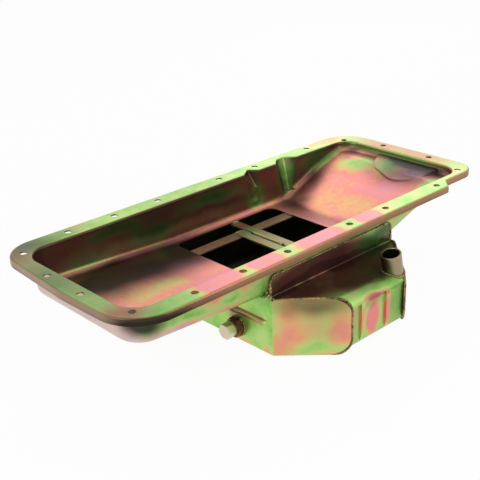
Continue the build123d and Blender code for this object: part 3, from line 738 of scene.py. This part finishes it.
def make_bead(name, path, radius, puddle=4.0):
    """A tube on the path: radius times puddles |sin|, and noise; its ends taper shut."""
    path, along = spread_evenly(np.asarray(path, float), puddle / STEPS_A_PUDDLE)
    ahead = np.gradient(path, axis=0)
    ahead /= np.linalg.norm(ahead, axis=1, keepdims=True)
    helper = np.where(np.abs(ahead[:, 2:]) > 0.8, [[1.0, 0.0, 0.0]], [[0.0, 0.0, 1.0]])
    side = np.cross(ahead, helper)
    side /= np.linalg.norm(side, axis=1, keepdims=True)
    up = np.cross(side, ahead)
    turn = np.linspace(0, 2 * np.pi, AROUND, endpoint=False)
    knots = along[::KNOT_STRIDE]
    wander = along + puddle * WANDER * np.interp(along, knots, random.normal(size=len(knots)))
    swell = VALLEY + CROWN * np.abs(np.sin(np.pi * wander / puddle))
    taper = np.sqrt(np.clip(np.minimum(along, along[-1] - along) / radius, 0.02, 1.0))
    lumps = random.normal(size=(len(path), AROUND))
    size = radius * (swell * taper)[:, None] * (1 + ROUGH * lumps * 0.5)
    ring = (np.cos(turn)[None, :, None] * side[:, None, :]
            + np.sin(turn)[None, :, None] * up[:, None, :])
    points = path[:, None, :] + size[:, :, None] * ring
    points[:, :, 2] = np.maximum(points[:, :, 2], BOTTOM_Z)
    points *= MM
    mesh = bpy.data.meshes.new(name)
    mesh.from_pydata(points.reshape(-1, 3), [], tube_faces(len(path), AROUND))
    mesh.shade_smooth()
    bead = bpy.data.objects.new(name, mesh)
    scene.collection.objects.link(bead)
    mesh.materials.append(weld_finish)
    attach(bead, "root")
    print(name, len(path), "rings,", round(along[-1]), "mm long")


print("a bead has", AROUND, "points round it")

# %% [markdown]
# The sump's long seams follow its section: out along the roof, down the outer face,
# along the bottom and up the far wall. The two end plates cut that section at the fold
# and then on a slant, so the seam's place along the engine depends on how far out it is.

# %% seams of the sump
SHEET = 1.6
FOLD_Y, OUT_Y = -107.0, -170.0
ROOF_Z, ROOF_BEND, FOOT_BEND = -57.0, 18.0, 20.0
ROOF_OUT_Z, ROOF_FALL = -56.2, 5.3          # outer height at the left, and its fall
ROOF_FROM_X, ROOF_RUN = -26.8, 101.3        # where the fall starts, and over what run
SUMP_ENDS = {"left": (-89.8, -26.8), "right": (134.0, 74.5)}


def roof_height(x, y):
    """Height of the roof: level at the wall, and tilted so that its right end falls."""
    outer = ROOF_OUT_Z - ROOF_FALL * (x - ROOF_FROM_X) / ROOF_RUN
    return ROOF_Z + (outer - ROOF_Z) / (OUT_Y + ROOF_BEND - FOLD_Y) * (y - FOLD_Y)


def seam_x(side, y):
    """Place along the engine of an end plate's inner face, at y across it."""
    fold, out = SUMP_ENDS[side]
    inward = math.copysign(SHEET, out - fold)
    if y > FOLD_Y:
        return fold + inward
    run = (out - fold) / (FOLD_Y - OUT_Y)
    return fold + run * (FOLD_Y - y) + inward * math.hypot(1, run)


def section_seam(side):
    """The seam round an end plate, from the wall out over the roof and back below."""
    def corner(y, z, bend):
        x = seam_x(side, y)
        return (x, y, roof_height(x, y) if z is None else z, bend)

    return round_corners([
        corner(-101.5, ROOF_Z, 0), corner(FOLD_Y, ROOF_Z, 0), corner(-122, None, 0),
        corner(-138, None, 0), corner(OUT_Y, None, ROOF_BEND),
        corner(OUT_Y, BOTTOM_Z, FOOT_BEND),
        corner(FOLD_Y, BOTTOM_Z, 0), corner(97.0, BOTTOM_Z, 12), corner(101.0, -52.0, 0),
    ])


for side in SUMP_ENDS:
    make_bead("weld_plate_" + side, section_seam(side), 1.45)

# %% [markdown]
# In front, the sump's sheet laps over the wall of the well. The ends of the lap carry
# thick beads and its top edge a thin one. A last seam runs under the floor at the left,
# where the end plate meets the pan, with a short heap of weld at the corner of the fold.

# %% seams of the lap and of the pan
LAP_LEFT, LAP_RIGHT, LAP_TOP_Z, LAP_BEND = -86.4, 130.6, -30.0, 9
LAP_Y, WALL_LEAN = 102.9, math.radians(3.0)
PAN_SEAM_X, PAN_BEND = -90.2, 10.6


def lap_y(z):
    """The middle of the lapped sheet, which leans with the wall of the well."""
    return -(LAP_Y + math.tan(WALL_LEAN) * z)


lap_edge = round_corners([
    (LAP_LEFT, lap_y(ROOF_Z) - 1, ROOF_Z + 1, 0),
    (LAP_LEFT, lap_y(LAP_TOP_Z), LAP_TOP_Z, LAP_BEND),
    (LAP_LEFT + 22, lap_y(LAP_TOP_Z), LAP_TOP_Z, 0),
])
make_bead("weld_lap_left", lap_edge, 2.0)
make_bead("weld_lap_top", [(LAP_LEFT + 20, lap_y(LAP_TOP_Z), LAP_TOP_Z),
                           (LAP_RIGHT - 18, lap_y(LAP_TOP_Z), LAP_TOP_Z)], 0.9, puddle=7.0)
lap_far_edge = round_corners([
    (LAP_RIGHT - 22, lap_y(LAP_TOP_Z), LAP_TOP_Z, 0),
    (LAP_RIGHT, lap_y(LAP_TOP_Z), LAP_TOP_Z, LAP_BEND),
    (LAP_RIGHT, lap_y(ROOF_Z) - 1, ROOF_Z + 1, 0),
])
make_bead("weld_lap_right", lap_far_edge, 1.6)
pan_seam = round_corners([
    (PAN_SEAM_X, -100.0, -47.0, 0), (PAN_SEAM_X, -99.2, -57.4, PAN_BEND),
    (PAN_SEAM_X, 99.2, -57.4, PAN_BEND), (PAN_SEAM_X, 100.0, -50.0, 0),
])
make_bead("weld_pan_seam", pan_seam, 1.5)
make_bead("weld_fold_corner", [(-91, -99.5, -50.5), (-90, -105, -54.5), (-88, -109, -56.5)], 2.6)

# %% [markdown]
# The dipstick tube and the drain boss are welded on all round. The tube stands on the
# roof at a lean, so its ring of weld goes up and down with the roof: each point of the
# ring slides along the tube's axis until it lies on the sheet.

# %% rings of weld
TUBE_FOOT = np.array([72.0, -151.0, -61.0])
TUBE_LEAN = math.radians(12)
TUBE_AXIS = np.array([-math.sin(TUBE_LEAN), 0.0, math.cos(TUBE_LEAN)])
TUBE_RING, BOSS_RING = 13.2, 12.2
BOSS_X, BOSS_Y, BOSS_Z = -90.6, -50.0, -110.0


def tube_ring(radius):
    """The curve where a leaning tube of this radius meets the roof and its outer bend."""
    turn = np.linspace(0, 2 * np.pi, 49)
    across = np.array([TUBE_AXIS[2], 0.0, -TUBE_AXIS[0]])
    ring = TUBE_FOOT + radius * (np.cos(turn)[:, None] * across
                                 + np.sin(turn)[:, None] * np.array([0.0, 1.0, 0.0]))
    bend_starts = OUT_Y + ROOF_BEND
    level = roof_height(TUBE_FOOT[0], np.maximum(ring[:, 1], bend_starts))
    beyond = np.maximum(bend_starts - ring[:, 1], 0.0)
    level = level - (ROOF_BEND - np.sqrt(ROOF_BEND ** 2 - beyond ** 2))
    return ring + ((level - ring[:, 2]) / TUBE_AXIS[2])[:, None] * TUBE_AXIS


def boss_ring(radius):
    """A circle on the flat of the left plate, round the drain boss."""
    turn = np.linspace(0, 2 * np.pi, 40)
    return np.stack([np.full(len(turn), BOSS_X), BOSS_Y + radius * np.cos(turn),
                     BOSS_Z + radius * np.sin(turn)], axis=1)


make_bead("weld_tube", tube_ring(TUBE_RING), 1.6, puddle=4.5)
make_bead("weld_boss", boss_ring(BOSS_RING), 1.3, puddle=5.5)

# %% [markdown]
# The straps only need to stay put in the oil, so they are tacked: a short bead at each
# place, which the same function makes from the two ends of a straight line.

# %% tacks on the straps
TACKS = {
    "tack_tongue": ((31, 87.5, -56.6), (43, 87.5, -56.6), 2.6),
    "tack_slot": ((23.5, -9.0, -55.6), (31.0, -9.0, -55.6), 1.6),
    "tack_strap_far": ((12, 60.6, -56.8), (24, 60.6, -56.8), 1.7),
    "tack_cross_left": ((-65.6, 48.5, -57.2), (-65.6, 61.5, -57.2), 1.5),
    "tack_cross_right": ((106.0, 48.5, -57.2), (106.0, 61.5, -57.2), 1.5),
}
for name, (start, end, radius) in TACKS.items():
    make_bead(name, [start, end], radius)

# %% [markdown]
# Plated metal shows what is around it. Four soft boxes give it broad, plain reflections
# and leave no hard shadow. Each is turned so that it looks at a place on the pan.

# %% lights
LAMPS = (
    ("box over the far side", (0.25, 1.1, 1.35), (0.1, 0, -0.02), 0.8, 4.4),
    ("box beyond the far corner", (1.6, 1.1, 0.8), (0.1, 0, -0.02), 1.0, 4.0),
    ("box at the left", (-1.4, -0.3, 0.9), (0, 0, -0.05), 0.8, 7.0),
    ("box in front", (0.6, -1.5, 0.6), (0, -0.1, -0.08), 0.7, 8.0),
)


def aim_lamp(name, place, target, size, watts):
    """A square soft box at place that looks at target."""
    data = bpy.data.lights.new(name, "AREA")
    data.shape = "SQUARE"
    data.size = size
    data.energy = watts
    lamp = bpy.data.objects.new(name, data)
    lamp.location = place
    looking = Vector(target) - Vector(place)
    lamp.rotation_euler = looking.to_track_quat("-Z", "Y").to_euler()
    scene.collection.objects.link(lamp)


for lamp in LAMPS:
    aim_lamp(*lamp)
print(len(LAMPS), "soft boxes,", sum(lamp[4] for lamp in LAMPS), "watts")

# %% [markdown]
# A white studio would wash the pan out if all of it gave light. The light path tells
# which kind of ray is asking, so the world is white for the camera and in reflections,
# and only half as bright when it fills the shadows.

# %% world
WHITE = (1.0, 1.0, 1.0, 1.0)
WORLD_FILL = 0.5


def asked_by(tree, *rays):
    """1 for the kinds of ray that are named and 0 for others: the largest of their flags."""
    path = tree.nodes.new("ShaderNodeLightPath")
    total = path.outputs[rays[0]]
    for ray in rays[1:]:
        either = tree.nodes.new("ShaderNodeMath")
        either.operation = "MAXIMUM"
        tree.links.new(total, either.inputs[0])
        tree.links.new(path.outputs[ray], either.inputs[1])
        total = either.outputs["Value"]
    return total


def make_world():
    """White where the camera or a reflection looks, softer for the fill light."""
    world = bpy.data.worlds.new("white studio")
    world.use_nodes = True
    tree = world.node_tree
    sky = tree.nodes["Background"]
    strength = tree.nodes.new("ShaderNodeMapRange")
    strength.inputs["To Min"].default_value = WORLD_FILL
    strength.inputs["To Max"].default_value = 1.0
    seen = asked_by(tree, "Is Camera Ray", "Is Glossy Ray", "Is Transmission Ray")
    tree.links.new(seen, strength.inputs["Value"])
    tree.links.new(strength.outputs["Result"], sky.inputs["Strength"])
    sky.inputs["Color"].default_value = WHITE
    scene.world = world


make_world()
print("world fills with", WORLD_FILL, "of its light")

# %% [markdown]
# The floor is a sheet of white paper under the sump. Seen directly it mostly glows, so
# that it stays as white as the world and keeps only a faint shadow.

# %% floor
FLOOR_Z = -0.1281
FLOOR_REACH = 6.0
PAPER = (0.9, 0.9, 0.9, 1.0)
PAPER_GLOW = 0.95


def make_paper():
    """A dull white that glows, by a share, where the camera or a reflection sees it."""
    paper = bpy.data.materials.new("white_paper")
    paper.use_nodes = True
    tree = paper.node_tree
    dull = tree.nodes["Principled BSDF"]
    dull.inputs["Base Color"].default_value = PAPER
    dull.inputs["Roughness"].default_value = 1.0
    dull.inputs["Specular IOR Level"].default_value = 0.0
    glow = tree.nodes.new("ShaderNodeEmission")
    glow.inputs["Strength"].default_value = 1.0
    share = tree.nodes.new("ShaderNodeMath")
    share.operation = "MULTIPLY"
    share.inputs[1].default_value = PAPER_GLOW
    tree.links.new(asked_by(tree, "Is Camera Ray", "Is Glossy Ray"), share.inputs[0])
    mix = tree.nodes.new("ShaderNodeMixShader")
    tree.links.new(share.outputs["Value"], mix.inputs["Fac"])
    tree.links.new(dull.outputs[0], mix.inputs[1])
    tree.links.new(glow.outputs[0], mix.inputs[2])
    tree.links.new(mix.outputs[0], tree.nodes["Material Output"].inputs["Surface"])
    return paper


def make_floor():
    """One square face under the sump."""
    mesh = bpy.data.meshes.new("floor")
    corners = [(-FLOOR_REACH, -FLOOR_REACH, FLOOR_Z), (FLOOR_REACH, -FLOOR_REACH, FLOOR_Z),
               (FLOOR_REACH, FLOOR_REACH, FLOOR_Z), (-FLOOR_REACH, FLOOR_REACH, FLOOR_Z)]
    mesh.from_pydata(corners, [], [(0, 1, 2, 3)])
    mesh.materials.append(make_paper())
    floor = bpy.data.objects.new("floor", mesh)
    scene.collection.objects.link(floor)
    return floor


make_floor()
print("floor at", FLOOR_Z)
